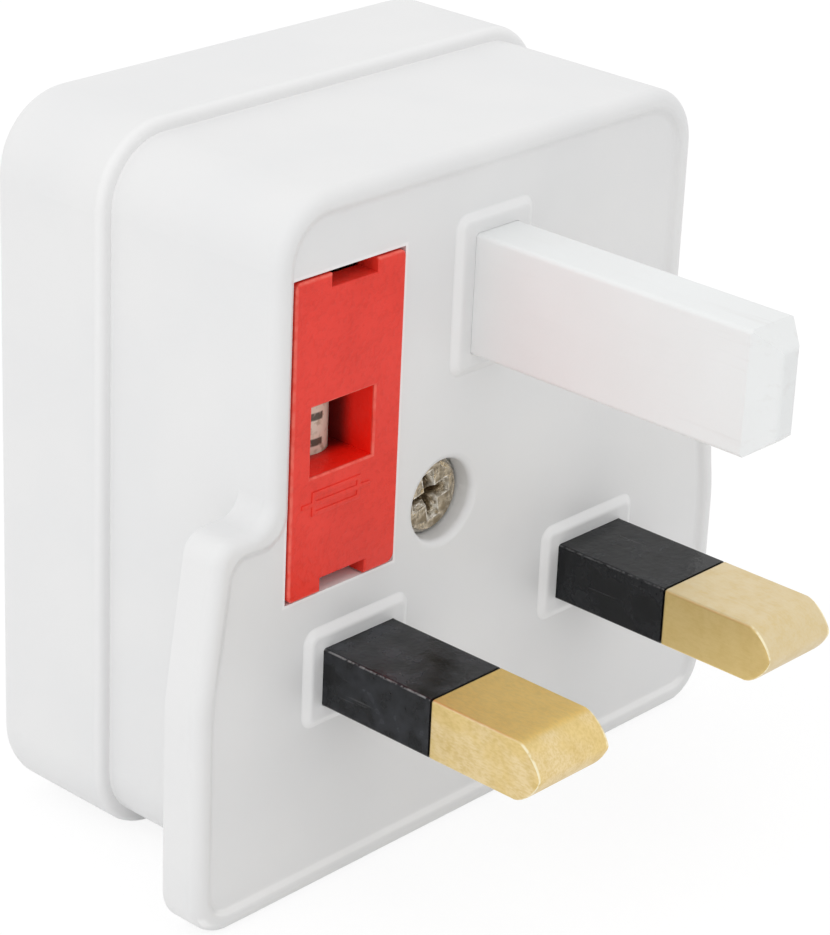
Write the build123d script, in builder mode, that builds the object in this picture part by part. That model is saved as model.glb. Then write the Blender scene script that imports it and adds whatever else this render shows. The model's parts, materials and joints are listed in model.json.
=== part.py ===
from build123d import *
import os

# Shaver plug adapter, in millimetres. The origin lies on the rim of the plug face, midway between the two
# metal pins. +X is right and +Z is up as the face is seen, and +Y runs into the body.

# Metal pins
pin_half_pitch = 11.115
line_pin_width = 6.35
line_pin_height = 4.0
line_pin_length = 17.7
line_pin_edge_round = 0.2
line_tip_length = 1.8
line_tip_half_height = 0.6
line_tip_round = 1.15
line_tip_corner = 0.4
line_tip_blend = 1.2
sleeve_length = 8.9
sleeve_wall = 0.45
sleeve_root = 1.5
sleeve_fit = 0.02
pin_shoulder_bevel = 0.18
line_head_margin = 0.9
pin_head_thickness = 1.6
pin_tail_radius = 1.1
pin_tail_rise = 0.25
pin_fit = 0.02

# Plastic earth pin
earth_pin_rise = 22.23
earth_pin_width = 4.0
earth_pin_height = 8.0
earth_pin_length = 22.7
earth_tip_bevel = 1.3
earth_tip_run = 1.6
earth_tip_round = 0.5
earth_edge_round = 0.3
earth_head_margin = 1.2

# Plug half of the housing
body_half_width = 19.1
earth_top_margin = 9.67
body_drop = 15.05
body_corner_radius = 4.3
plug_depth = 14.3
side_wall = 1.9
face_wall = 2.25
face_recess = 0.35
rim_width = 1.15
rim_slope = 50
rim_edge_round = 0.5
rim_foot_round = 0.5
face_edge_round = 0.8
spigot_inset = 0.9
spigot_length = 1.2
spigot_clearance = 0.1

# Finger flange round the lower half of the plug face
flange_flare = 1.55
flange_thickness = 2.9
flange_corner_radius = 5.0
flange_break_height = 1.0
flange_bend_radius = 12.0
shoulder_run = 4.3
shoulder_height = 11.75
shoulder_radius = 1.5
shoulder_root_radius = 1.6

# Raised pads round the pins
line_pad_margin = 1.475
earth_pad_side = 1.55
earth_pad_end = 1.4
pad_slope = 60
pad_corner = 1.0
pad_edge_round = 0.5

# Socket half of the housing
socket_step = 0.9
socket_depth = 10.1
socket_face_wall = 2.0
socket_edge_round = 1.5
seam_edge_round = 0.6
socket_half_pitch = 8.65
slot_length = 6.4
slot_height = 5.5
slot_lead_in = 0.6
collar_wall = 1.2
collar_depth = 4.8
rib_thickness = 1.2

# Screw that holds the two halves together
screw_height = 8.6
screw_head_radius = 2.58
screw_head_thickness = 1.65
screw_head_bevel = 0.3
screw_shank_radius = 1.45
screw_length = 14.2
screw_point = 2.0
screw_slot_length = 3.3
screw_slot_width = 1.0
screw_slot_depth = 0.95
screw_slot_taper = 22
screw_slot_turn = 13
screw_seat_depth = 3.15
screw_head_clearance = 0.15
screw_hole_clearance = 0.2
screw_pilot_fit = 0.03
screw_lip_round = 0.5
screw_boss_wall = 1.2
screw_pillar_wall = 2.25
screw_pillar_end = 5.6
screw_pilot_end = 19.0
boss_gap = 0.75

# Cartridge fuse
fuse_length = 19.05
fuse_cap_radius = 2.38
fuse_cap_length = 4.6
fuse_cap_end = 0.25
fuse_cap_fit = 0.02
fuse_cap_wall = 0.16
fuse_bore_radius = 1.3
fuse_wire_radius = 0.15
fuse_gap = 0.52

# Pull-out fuse carrier and its bay
carrier_width = 9.3
carrier_end_margin = 0.825
carrier_side_margin = 1.7
carrier_face = 0.15
carrier_plate = 1.75
carrier_corner = 0.45
carrier_key_corner = 0.7
carrier_edge_bevel = 0.1
carrier_clearance = 0.12
carrier_jaw_gap = 0.8
carrier_jaw_wall = 1.7
carrier_grip = 2.1
carrier_side_wall = 0.9
carrier_end_gap = 0.1
carrier_saddle_fit = 0.05
carrier_snap = 0.12
window_width = 5.4
window_height = 4.6
window_shift = -0.37
window_drop = 0.15
notch_width = 3.9
top_notch_shift = 0.3
top_notch_depth = 0.9
bottom_notch_shift = 0.05
bottom_notch_depth = 0.9
bay_wall = 1.1
bay_floor = 1.0

# Bent metal straps, clips and contacts
strap_thickness = 0.45
strap_width = 2.4
strap_gap = 0.2
strap_side_gap = 0.65
clip_length = 3.6
clip_inset = 0.2
clip_fit = 0.1
clip_reach = 1.5
clip_flare = 0.5
slot_play = 0.1
contact_width = 5.0
contact_gap = 4.3
contact_pinch = 3.6
contact_pinch_back = 2.6
contact_flare = 5.0
contact_mouth_back = 0.9
plate_margin = 1.2

# Insulating tray for the contacts
tray_leaf_gap = 0.15
tray_wall = 0.83
tray_floor = 0.9
tray_gap = 0.1
tray_back_gap = 0.1
tray_end_wall = 0.9
tray_chamber_play = 0.8
tray_rail_length = 2.4
tray_rail_thickness = 1.0
tray_foot_width = 4.0
tray_foot_height = 5.0

# Safety shutter behind the socket holes, and its spring
shutter_gap = 0.25
blade_overlap = 0.65
blade_lip = 0.9
ramp_drop = 6.0
travel_margin = 0.25
shutter_floor_gap = 0.35
crossbar_thickness = 2.2
tongue_half_width = 2.7
tongue_top = 2.2
tongue_cap = 1.2
spring_radius = 1.45
spring_wire = 0.4
spring_wire_sides = 6
spring_turns = 7
spring_spigot_gap = 0.2
spring_pocket_clearance = 0.25
spring_peg_clearance = 0.25
spring_peg_height = 1.5

# Depths from the rim to the faces that pieces seat on
plug_inner = face_recess + face_wall
head_back = plug_inner + pin_head_thickness
tail_end = head_back + strap_thickness + pin_tail_rise
tray_front = tail_end + tray_gap
tray_inner = tray_front + tray_floor
tray_back = plug_depth - tray_back_gap
rear_face = plug_depth + socket_depth
socket_inner = rear_face - socket_face_wall
collar_front = rear_face - collar_depth
shutter_front = tray_back + shutter_gap
shutter_back = collar_front - shutter_gap

# Outline of the plug block and its flange
body_top = earth_pin_rise + earth_top_margin
body_height = body_top + body_drop
body_middle = (body_top - body_drop) / 2
shoulder_half_width = body_half_width + shoulder_run
flange_half_width = shoulder_half_width + flange_flare

# Fuse, and the depths that its carrier and clips reach
fuse_body_radius = fuse_cap_radius - fuse_cap_wall - fuse_cap_fit
fuse_depth = carrier_face + carrier_plate + fuse_gap + fuse_cap_radius
carrier_back = fuse_depth + carrier_grip
clip_arm_front = fuse_depth - clip_reach

# Fuse bay: its lower wall clears the straps, which clear the contact tray
tray_half_height = contact_flare / 2 + strap_thickness + tray_leaf_gap + tray_wall
bay_bottom = tray_half_height + 2 * strap_gap + strap_thickness + bay_wall
carrier_height = fuse_length + 2 * carrier_end_margin
carrier_x = carrier_width / 2 + carrier_side_margin - body_half_width
carrier_z = bay_bottom + carrier_clearance + carrier_height / 2
bay_width = carrier_width + 2 * carrier_clearance
bay_height = carrier_height + 2 * carrier_clearance
bay_depth = fuse_depth + fuse_cap_radius + clip_fit + strap_thickness
bay_back = bay_depth + bay_floor
clip_seat = bay_depth - strap_thickness

# Screw: its boss clears the fuse bay
screw_boss_radius = screw_shank_radius + screw_pilot_fit + screw_boss_wall
screw_x = carrier_x + bay_width / 2 + bay_wall + boss_gap + screw_boss_radius
screw_hole_radius = screw_shank_radius + screw_hole_clearance
screw_well_radius = screw_head_radius + screw_head_clearance

# Fuse ends and the clips on its caps
fuse_bottom = carrier_z - fuse_length / 2
fuse_top = carrier_z + fuse_length / 2
lower_clip_bottom = fuse_bottom + clip_inset
upper_clip_bottom = fuse_top - clip_inset - clip_length
clip_tail_top = upper_clip_bottom - strap_width / 2
carrier_jaw_half = fuse_length / 2 - fuse_cap_length - carrier_jaw_gap

# Straps that run between the tray and the fuse bay, and the one behind the bay
strap_z = tray_half_height + strap_gap
strap_top = strap_z + strap_thickness
live_strap_x = carrier_x + strap_width + strap_side_gap
live_foot_end = max(live_strap_x + strap_width / 2, -socket_half_pitch)
pin_plate_reach = pin_tail_radius + plate_margin
live_strap_back = bay_back + tray_gap

# Shutter travel and outline
cavity_bottom = side_wall - body_drop
socket_cavity_inset = spigot_inset - spigot_clearance
socket_floor = socket_cavity_inset - body_drop
blade_half_width = slot_length / 2 + blade_overlap
blade_top = slot_height / 2 + blade_overlap
shutter_travel = slot_height + blade_overlap + travel_margin
crossbar_bottom = cavity_bottom + shutter_travel + shutter_floor_gap
shutter_side = socket_half_pitch + blade_half_width
rib_side = shutter_side + shutter_gap
spring_pocket_radius = spring_radius + spring_pocket_clearance
spring_y = plug_depth + spigot_length + spring_spigot_gap + spring_radius
spring_top = tongue_top - tongue_cap
spring_peg_radius = spring_radius - spring_wire - spring_peg_clearance

sides = (-1, 1)


def depth_plane(depth):
    """Plane that faces the wall outlet, this far behind the rim: its x is X and its y is Z."""
    return Plane.XZ.offset(-depth)


def block(x_span, y_span, z_span, mode=Mode.ADD):
    """Straight-sided block between these limits, in the piece being made."""
    spans = (x_span, y_span, z_span)
    with Locations(tuple((low + high) / 2 for low, high in spans)):
        Box(*(high - low for low, high in spans), mode=mode)


def about(middle, width):
    """Limits of a span of this width about its middle."""
    return middle - width / 2, middle + width / 2


def plug_face(inset):
    """Outline of the plug face with its finger flange, drawn in from the edge by inset."""
    right = [
        (body_half_width - inset, body_top - inset),
        (body_half_width - inset, shoulder_height - inset),
        (shoulder_half_width - inset, shoulder_height - inset),
        (flange_half_width - inset, flange_break_height),
        (flange_half_width - inset, inset - body_drop),
    ]
    radii = [
        body_corner_radius - inset,
        shoulder_root_radius,
        shoulder_radius,
        flange_bend_radius,
        flange_corner_radius - inset,
    ]
    left = [(-x, z) for x, z in reversed(right)]
    with BuildSketch(depth_plane(0)) as outline:
        with BuildLine():
            FilletPolyline(*right, *left, radius=radii + radii[::-1], close=True)
        make_face()
    return outline.sketch


def body_outline(depth, inset):
    """Rounded outline of the plug block at this depth, drawn in by inset."""
    with BuildSketch(depth_plane(depth)) as outline:
        with Locations((0, body_middle)):
            RectangleRounded(
                2 * (body_half_width - inset),
                body_height - 2 * inset,
                body_corner_radius - inset,
            )
    return outline.sketch


def pin_section(depth, side, shrink, corner):
    """Rounded section of a metal pin at this depth, made smaller all round by shrink."""
    with BuildSketch(depth_plane(depth)) as section:
        with Locations((side * pin_half_pitch, 0)):
            RectangleRounded(line_pin_width - 2 * shrink, line_pin_height - 2 * shrink, corner)
    return section.sketch


def carrier_outline(depth):
    """Outline of the fuse carrier at this depth, with a notch for a screwdriver in each end."""
    left, right = about(carrier_x, carrier_width)
    bottom, top = about(carrier_z, carrier_height)
    corners = [carrier_corner, carrier_key_corner, carrier_corner, carrier_corner]
    with BuildSketch(depth_plane(depth)) as outline:
        with BuildLine():
            ends = [(left, bottom), (right, bottom), (right, top), (left, top)]
            FilletPolyline(*ends, radius=corners, close=True)
        make_face()
        with Locations((carrier_x + top_notch_shift, top)):
            Rectangle(notch_width, 2 * top_notch_depth, mode=Mode.SUBTRACT)
        with Locations((carrier_x + bottom_notch_shift, bottom)):
            Rectangle(notch_width, 2 * bottom_notch_depth, mode=Mode.SUBTRACT)
    return outline.sketch


def contact_strip(x, seat):
    """Strip bent into a base on its seat and two leaves that pinch a round pin, seen along X."""
    base = seat + strap_thickness / 2
    mouth = tray_back - contact_mouth_back
    leaf = (contact_gap + strap_thickness) / 2
    upper = [
        (mouth, (contact_flare + strap_thickness) / 2),
        (mouth - contact_pinch_back, (contact_pinch + strap_thickness) / 2),
        (tray_inner + 2 * strap_thickness, leaf),
        (base, leaf),
    ]
    lower = [(y, -z) for y, z in reversed(upper)]
    with BuildSketch(Plane.YZ.offset(x)) as strip:
        with BuildLine():
            FilletPolyline(*upper, *lower, radius=strap_thickness)
        trace(line_width=strap_thickness)
    return strip.sketch


def clip_strip(z):
    """Strip bent into a fuse clip: a base on the bay floor and two arms with flared tips."""
    arm = fuse_cap_radius + clip_fit + strap_thickness / 2
    base = clip_seat + strap_thickness / 2
    right = [
        (arm + clip_flare, clip_arm_front),
        (arm, clip_arm_front + 2 * clip_flare),
        (arm, base),
    ]
    left = [(-x, y) for x, y in reversed(right)]
    with BuildSketch(Plane.XY.offset(z).shift_origin((carrier_x, 0, z))) as strip:
        with BuildLine():
            FilletPolyline(*right, *left, radius=strap_thickness)
        trace(line_width=strap_thickness)
    return strip.sketch


# Plug half of the housing: face, flange and block in one moulding
with BuildPart() as plug_housing:
    extrude(plug_face(0), amount=-flange_thickness)
    extrude(body_outline(flange_thickness, 0), amount=flange_thickness - plug_depth)
    fillet(plug_housing.faces().sort_by(Axis.Y)[0].edges(), face_edge_round)
    extrude(body_outline(plug_depth, spigot_inset), amount=-spigot_length)
    spigot_end = plug_depth + spigot_length
    extrude(body_outline(plug_inner, side_wall), amount=plug_inner - spigot_end, mode=Mode.SUBTRACT)

    # Recessed face that leaves the rim and the pads standing
    extrude(plug_face(rim_width), amount=-face_recess, taper=rim_slope, mode=Mode.SUBTRACT)
    rim, recess = plug_housing.faces().filter_by(Axis.Y).sort_by(Axis.Y)[:2]
    fillet(recess.outer_wire().edges(), rim_foot_round)
    fillet([edge for wire in rim.inner_wires() for edge in wire.edges()], rim_edge_round)
    with BuildSketch(depth_plane(face_recess)):
        with Locations((-pin_half_pitch, 0), (pin_half_pitch, 0)):
            RectangleRounded(
                line_pin_width + 2 * line_pad_margin,
                line_pin_height + 2 * line_pad_margin,
                pad_corner,
            )
        with Locations((0, earth_pin_rise)):
            RectangleRounded(
                earth_pin_width + 2 * earth_pad_side,
                earth_pin_height + 2 * earth_pad_end,
                pad_corner,
            )
    extrude(amount=face_recess, taper=pad_slope)
    flush = plug_housing.faces().filter_by(Axis.Y).group_by(Axis.Y)[0]
    pads = flush.filter_by(lambda face: not face.inner_wires())
    fillet(pads.edges(), pad_edge_round)

    # Walled bay for the fuse carrier
    with BuildSketch(depth_plane(plug_inner)):
        with Locations((carrier_x, carrier_z)):
            Rectangle(bay_width + 2 * bay_wall, bay_height + 2 * bay_wall)
    extrude(amount=plug_inner - bay_back)
    with BuildSketch(depth_plane(0)):
        with Locations((carrier_x, carrier_z)):
            Rectangle(bay_width, bay_height)
    extrude(amount=-bay_depth, mode=Mode.SUBTRACT)

    # Slots for the lower strap and for the tail of the upper clip
    slot_width = strap_width + 2 * slot_play
    block(
        about(carrier_x, slot_width),
        (clip_seat - slot_play, bay_depth),
        (bay_bottom - bay_wall, bay_bottom),
        mode=Mode.SUBTRACT,
    )
    block(
        about(carrier_x, slot_width),
        (bay_depth, bay_back),
        (clip_tail_top - strap_thickness - slot_play, clip_tail_top + slot_play),
        mode=Mode.SUBTRACT,
    )

    # Pillar, well and clearance hole for the screw
    with BuildSketch(depth_plane(plug_inner)):
        with Locations((screw_x, screw_height)):
            Circle(screw_hole_radius + screw_pillar_wall)
        with Locations((carrier_x, carrier_z)):
            Rectangle(bay_width, bay_height, mode=Mode.SUBTRACT)
    extrude(amount=plug_inner - screw_pillar_end)
    with BuildSketch(depth_plane(0)):
        with Locations((screw_x, screw_height)):
            Circle(screw_well_radius)
    extrude(amount=-screw_seat_depth, mode=Mode.SUBTRACT)
    with BuildSketch(depth_plane(screw_seat_depth)):
        with Locations((screw_x, screw_height)):
            Circle(screw_hole_radius)
    extrude(amount=screw_seat_depth - screw_pillar_end, mode=Mode.SUBTRACT)
    rings = plug_housing.edges().filter_by(GeomType.CIRCLE)
    well_rings = rings.filter_by(lambda ring: abs(ring.radius - screw_well_radius) < 0.01)
    fillet(well_rings.sort_by(Axis.Y)[0], screw_lip_round)

    # Holes for the three pins
    for side in sides:
        extrude(pin_section(0, side, -pin_fit, line_pin_edge_round), amount=-plug_inner, mode=Mode.SUBTRACT)
    with BuildSketch(depth_plane(0)):
        with Locations((0, earth_pin_rise)):
            RectangleRounded(
                earth_pin_width + 2 * pin_fit,
                earth_pin_height + 2 * pin_fit,
                earth_edge_round,
            )
    extrude(amount=-plug_inner, mode=Mode.SUBTRACT)

# Socket half of the housing: a cap a little larger than the plug block
with BuildPart() as socket_housing:
    extrude(body_outline(plug_depth, -socket_step), amount=-socket_depth)
    fillet(socket_housing.faces().sort_by(Axis.Y)[-1].edges(), socket_edge_round)
    fillet(socket_housing.faces().sort_by(Axis.Y)[0].edges(), seam_edge_round)
    extrude(
        body_outline(plug_depth, socket_cavity_inset),
        amount=plug_depth - socket_inner,
        mode=Mode.SUBTRACT,
    )

    # Collars round the two holes
    with BuildSketch(depth_plane(collar_front)):
        with Locations((-socket_half_pitch, 0), (socket_half_pitch, 0)):
            SlotOverall(slot_length + 2 * collar_wall, slot_height + 2 * collar_wall)
    extrude(amount=collar_front - socket_inner)

    # Guide ribs beside the shutter and stops above its blades
    for side in sides:
        with BuildSketch(depth_plane(tray_back)):
            with Locations((side * (rib_side + rib_thickness / 2), (tray_half_height + cavity_bottom) / 2)):
                Rectangle(rib_thickness, tray_half_height - cavity_bottom - 2 * rib_thickness)
        extrude(amount=tray_back - socket_inner)
        block(
            about(side * socket_half_pitch, slot_length / 2),
            (shutter_front, socket_inner),
            (blade_top + shutter_gap, blade_top + shutter_gap + rib_thickness),
        )

    # Post that holds the earth pin in, and the boss for the screw
    with BuildSketch(depth_plane(head_back)):
        with Locations((0, earth_pin_rise)):
            Rectangle(rib_thickness, earth_pin_height)
            Rectangle(earth_pin_width + 2 * earth_head_margin - rib_thickness, rib_thickness)
    extrude(amount=head_back - socket_inner)
    with BuildSketch(depth_plane(screw_pillar_end)):
        with Locations((screw_x, screw_height)):
            Circle(screw_boss_radius)
    extrude(amount=screw_pillar_end - socket_inner)
    with BuildSketch(depth_plane(screw_pillar_end)):
        with Locations((screw_x, screw_height)):
            Circle(screw_shank_radius + screw_pilot_fit)
    extrude(amount=screw_pillar_end - screw_pilot_end, mode=Mode.SUBTRACT)

    # Peg that centres the spring
    with BuildSketch(Plane.XY.offset(socket_floor)):
        with Locations((0, spring_y)):
            Circle(spring_peg_radius)
    extrude(amount=spring_peg_height)

    # The two holes, eased where the pins go in
    with BuildSketch(depth_plane(collar_front)):
        with Locations((-socket_half_pitch, 0), (socket_half_pitch, 0)):
            SlotOverall(slot_length, slot_height)
    extrude(amount=collar_front - rear_face, mode=Mode.SUBTRACT)
    rear = socket_housing.faces().sort_by(Axis.Y)[-1]
    chamfer([edge for wire in rear.inner_wires() for edge in wire.edges()], slot_lead_in)

# Plastic earth pin with a head inside the housing
with BuildPart() as earth_pin:
    with BuildSketch(depth_plane(-earth_pin_length)):
        with Locations((0, earth_pin_rise)):
            Rectangle(earth_pin_width, earth_pin_height)
    extrude(amount=-earth_pin_length - plug_inner)
    tip_face = earth_pin.faces().sort_by(Axis.Y)[0]
    chamfer(tip_face.edges(), length=earth_tip_bevel, length2=earth_tip_run, reference=tip_face)
    fillet(earth_pin.edges().filter_by(Axis.Y), earth_edge_round)
    fillet(earth_pin.faces().sort_by(Axis.Y)[0].edges(), earth_tip_round)
    with BuildSketch(depth_plane(plug_inner)):
        with Locations((0, earth_pin_rise)):
            RectangleRounded(
                earth_pin_width + 2 * earth_head_margin,
                earth_pin_height + 2 * earth_head_margin,
                earth_edge_round,
            )
    extrude(amount=-pin_head_thickness)

# Brass pins with a bevelled tip, a waist for the sleeve, a head and a riveted tail
line_pins = {}
for name, side in (("live_pin", -1), ("neutral_pin", 1)):
    with BuildPart() as line_pin:
        tip = -line_pin_length
        extrude(pin_section(tip, side, 0, line_pin_edge_round), amount=sleeve_length - line_pin_length)
        with BuildSketch(Plane.YZ.offset(side * pin_half_pitch)) as profile:
            with BuildLine():
                upper = [
                    (-sleeve_length, line_pin_height / 2),
                    (tip + line_tip_length, line_pin_height / 2),
                    (tip, line_tip_half_height),
                ]
                lower = [(y, -z) for y, z in reversed(upper)]
                Polyline(*upper, *lower, close=True)
            make_face()
            fillet(profile.vertices().group_by(Axis.X)[1], line_tip_blend)
            fillet(profile.vertices().group_by(Axis.X)[0], line_tip_round)
        extrude(amount=line_pin_width, both=True, mode=Mode.INTERSECT)
        with BuildSketch(Plane.XY) as plan:
            with Locations((side * pin_half_pitch, (tip - sleeve_length) / 2)):
                Rectangle(line_pin_width, line_pin_length - sleeve_length)
            fillet(plan.vertices().group_by(Axis.Y)[0], line_tip_corner)
        extrude(amount=line_pin_height, both=True, mode=Mode.INTERSECT)
        chamfer(line_pin.faces().sort_by(Axis.Y)[-1].edges(), pin_shoulder_bevel)
        extrude(
            pin_section(-sleeve_length, side, sleeve_wall, line_pin_edge_round),
            amount=-sleeve_length - sleeve_root,
        )
        extrude(
            pin_section(sleeve_root, side, 0, line_pin_edge_round),
            amount=sleeve_root - plug_inner,
        )
        with BuildSketch(depth_plane(plug_inner)):
            with Locations((side * pin_half_pitch, 0)):
                RectangleRounded(
                    line_pin_width + 2 * line_head_margin,
                    line_pin_height + 2 * line_head_margin,
                    line_pin_edge_round,
                )
        extrude(amount=-pin_head_thickness)
        with BuildSketch(depth_plane(head_back)):
            with Locations((side * pin_half_pitch, 0)):
                Circle(pin_tail_radius)
        extrude(amount=head_back - tail_end)
    line_pins[name] = line_pin

# Insulating sleeves on the roots of the brass pins
pin_sleeves = {}
for name, side in (("live_pin_sleeve", -1), ("neutral_pin_sleeve", 1)):
    with BuildPart() as pin_sleeve:
        length = sleeve_length + sleeve_root
        extrude(pin_section(-sleeve_length, side, 0, line_pin_edge_round), amount=-length)
        extrude(
            pin_section(-sleeve_length, side, sleeve_wall - sleeve_fit, line_pin_edge_round),
            amount=-length,
            mode=Mode.SUBTRACT,
        )
    pin_sleeves[name] = pin_sleeve

# Screw with a bevelled head, a tapered cross recess and a point
with BuildPart() as housing_screw:
    head_face = screw_seat_depth - screw_head_thickness
    with BuildSketch(depth_plane(head_face)):
        with Locations((screw_x, screw_height)):
            Circle(screw_head_radius)
    extrude(amount=-screw_head_thickness)
    chamfer(housing_screw.edges().group_by(Axis.Y)[0], screw_head_bevel)
    with BuildSketch(depth_plane(head_face)):
        with Locations((screw_x, screw_height)):
            Rectangle(screw_slot_length, screw_slot_width, rotation=screw_slot_turn)
            Rectangle(screw_slot_width, screw_slot_length, rotation=screw_slot_turn)
    extrude(amount=-screw_slot_depth, taper=screw_slot_taper, mode=Mode.SUBTRACT)
    with BuildSketch(depth_plane(screw_seat_depth)):
        with Locations((screw_x, screw_height)):
            Circle(screw_shank_radius)
    extrude(amount=-screw_length)
    point_edge = housing_screw.edges().group_by(Axis.Y)[-1]
    chamfer(point_edge, length=screw_point, length2=screw_shank_radius / 2)

# Cartridge fuse: ceramic tube, two caps and the wire between them
with BuildPart() as fuse_body:
    with BuildSketch(Plane.XY.offset(fuse_bottom + fuse_cap_end)):
        with Locations((carrier_x, fuse_depth)):
            Circle(fuse_body_radius)
            Circle(fuse_bore_radius, mode=Mode.SUBTRACT)
    extrude(amount=fuse_length - 2 * fuse_cap_end)

fuse_caps = {}
for name, end, inward in (("fuse_cap_lower", fuse_bottom, 1), ("fuse_cap_upper", fuse_top, -1)):
    with BuildPart() as fuse_cap:
        with BuildSketch(Plane.XY.offset(end)):
            with Locations((carrier_x, fuse_depth)):
                Circle(fuse_cap_radius)
        extrude(amount=inward * fuse_cap_length)
        with BuildSketch(Plane.XY.offset(end + inward * fuse_cap_end)):
            with Locations((carrier_x, fuse_depth)):
                Circle(fuse_body_radius + fuse_cap_fit)
        extrude(amount=inward * (fuse_cap_length - fuse_cap_end), mode=Mode.SUBTRACT)
    fuse_caps[name] = fuse_cap

with BuildPart() as fuse_wire:
    with BuildSketch(Plane.XY.offset(fuse_bottom + fuse_cap_end)):
        with Locations((carrier_x, fuse_depth)):
            Circle(fuse_wire_radius)
    extrude(amount=fuse_length - 2 * fuse_cap_end)

# Fuse carrier: a skirted box with a window in its face, and jaws that hold the fuse by its ceramic body
with BuildPart() as fuse_carrier:
    saddle_radius = fuse_body_radius + carrier_saddle_fit
    jaw_width = 2 * (saddle_radius + carrier_jaw_wall)
    plate_back = carrier_face + carrier_plate
    extrude(carrier_outline(carrier_face), amount=carrier_face - carrier_back)
    block(
        about(carrier_x, carrier_width - 2 * carrier_side_wall),
        (plate_back, carrier_back),
        about(carrier_z, fuse_length + 2 * carrier_end_gap),
        mode=Mode.SUBTRACT,
    )
    block(about(carrier_x, jaw_width), (plate_back, carrier_back), about(carrier_z, 2 * carrier_jaw_half))
    with BuildSketch(Plane.XY.offset(carrier_z)):
        with Locations((carrier_x, fuse_depth)):
            Circle(saddle_radius)
            Rectangle(
                2 * (saddle_radius - carrier_snap),
                carrier_grip,
                align=(Align.CENTER, Align.MIN),
            )
    extrude(amount=carrier_jaw_half, both=True, mode=Mode.SUBTRACT)
    with BuildSketch(depth_plane(carrier_face)):
        with Locations((carrier_x + window_shift, carrier_z - window_drop)):
            Rectangle(window_width, window_height)
    extrude(amount=carrier_face - fuse_depth, mode=Mode.SUBTRACT)
    chamfer(fuse_carrier.faces().sort_by(Axis.Y)[0].edges(), carrier_edge_bevel)

# Lower fuse clip, with a strap down to the live pin
with BuildPart() as fuse_clip_lower:
    extrude(clip_strip(lower_clip_bottom), amount=clip_length)
    block(about(carrier_x, strap_width), (clip_seat, bay_depth), (strap_z, lower_clip_bottom))
    block(about(carrier_x, strap_width), (head_back, bay_depth), (strap_z, strap_top))
    block(about(carrier_x, strap_width), (head_back, head_back + strap_thickness), (0, strap_top))
    strap_side, strap_inner_side = about(carrier_x, strap_width)
    plate_side, plate_inner_side = about(-pin_half_pitch, 2 * pin_plate_reach)
    block(
        (min(strap_side, plate_side), max(strap_inner_side, plate_inner_side)),
        (head_back, head_back + strap_thickness),
        about(0, 2 * pin_plate_reach),
    )
    with BuildSketch(depth_plane(head_back)):
        with Locations((-pin_half_pitch, 0)):
            Circle(pin_tail_radius + pin_fit)
    extrude(amount=-strap_thickness, mode=Mode.SUBTRACT)

# Upper fuse clip, with a tail through the floor of the bay
with BuildPart() as fuse_clip_upper:
    extrude(clip_strip(upper_clip_bottom), amount=clip_length)
    block(
        about(carrier_x, strap_width),
        (clip_seat, bay_depth),
        (clip_tail_top - strap_thickness, upper_clip_bottom),
    )
    block(
        about(carrier_x, strap_width),
        (clip_seat, live_strap_back),
        (clip_tail_top - strap_thickness, clip_tail_top),
    )

# Live contact, with a strap over the tray and up behind the fuse bay
with BuildPart() as live_contact:
    extrude(contact_strip(-socket_half_pitch, tray_inner), amount=contact_width / 2, both=True)
    strap_x_span = about(live_strap_x, strap_width)
    block(
        (live_strap_x - strap_width / 2, live_foot_end),
        (tray_inner, tray_inner + strap_thickness),
        (contact_gap / 2, strap_top),
    )
    block(strap_x_span, (tray_inner, live_strap_back + strap_thickness), (strap_z, strap_top))
    block(
        strap_x_span,
        (live_strap_back, live_strap_back + strap_thickness),
        (strap_z, clip_tail_top + strap_width / 2),
    )
    block(
        (carrier_x - strap_width / 2, live_strap_x),
        (live_strap_back, live_strap_back + strap_thickness),
        about(clip_tail_top - strap_thickness / 2, strap_width),
    )

# Neutral contact, riveted to the neutral pin
with BuildPart() as neutral_contact:
    extrude(contact_strip(socket_half_pitch, head_back), amount=contact_width / 2, both=True)
    block(
        (socket_half_pitch, pin_half_pitch + pin_plate_reach),
        (head_back, head_back + strap_thickness),
        about(0, contact_gap - strap_thickness),
    )
    with BuildSketch(depth_plane(head_back)):
        with Locations((pin_half_pitch, 0)):
            Circle(pin_tail_radius + pin_fit)
    extrude(amount=-strap_thickness, mode=Mode.SUBTRACT)

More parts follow.
